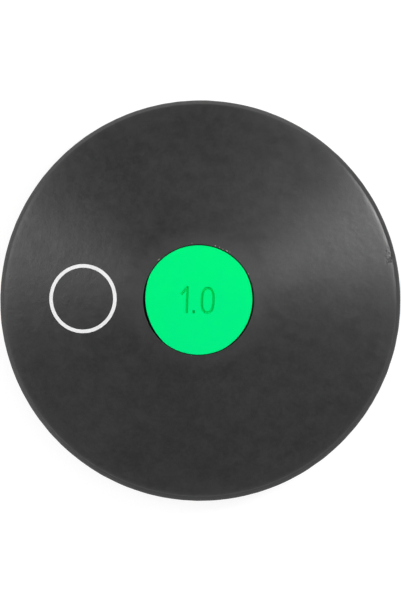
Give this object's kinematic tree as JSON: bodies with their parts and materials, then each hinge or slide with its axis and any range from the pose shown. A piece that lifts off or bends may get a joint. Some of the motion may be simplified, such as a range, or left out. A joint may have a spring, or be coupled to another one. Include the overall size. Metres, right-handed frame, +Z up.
{
  "type": "discus",
  "caption": "Throwing discus of moulded rubber: lens-shaped body with a rounded rim, a flush round plastic plate at the centre of each face, and a steel weight inside.",
  "frame": {"origin": "centre of the lower face, on the surface that the discus lies on", "axes": "+Z up along the axis the discus spins about; it looks the same turned about Z, with +Y towards the top of the pictured face"},
  "size_m": [0.181, 0.181, 0.038],
  "materials": {
    "rubber": "satin",
    "plate_plastic": "satin",
    "core_steel": "satin",
    "glue": "satin",
    "print_ink": "satin"
  },
  "bodies": {
    "root": {"rubber_body": "rubber", "core_weight": "core_steel", "upper_center_plate": "plate_plastic", "lower_center_plate": "plate_plastic", "upper_glue_layer": "glue", "lower_glue_layer": "glue"}
  },
  "joints": []
}
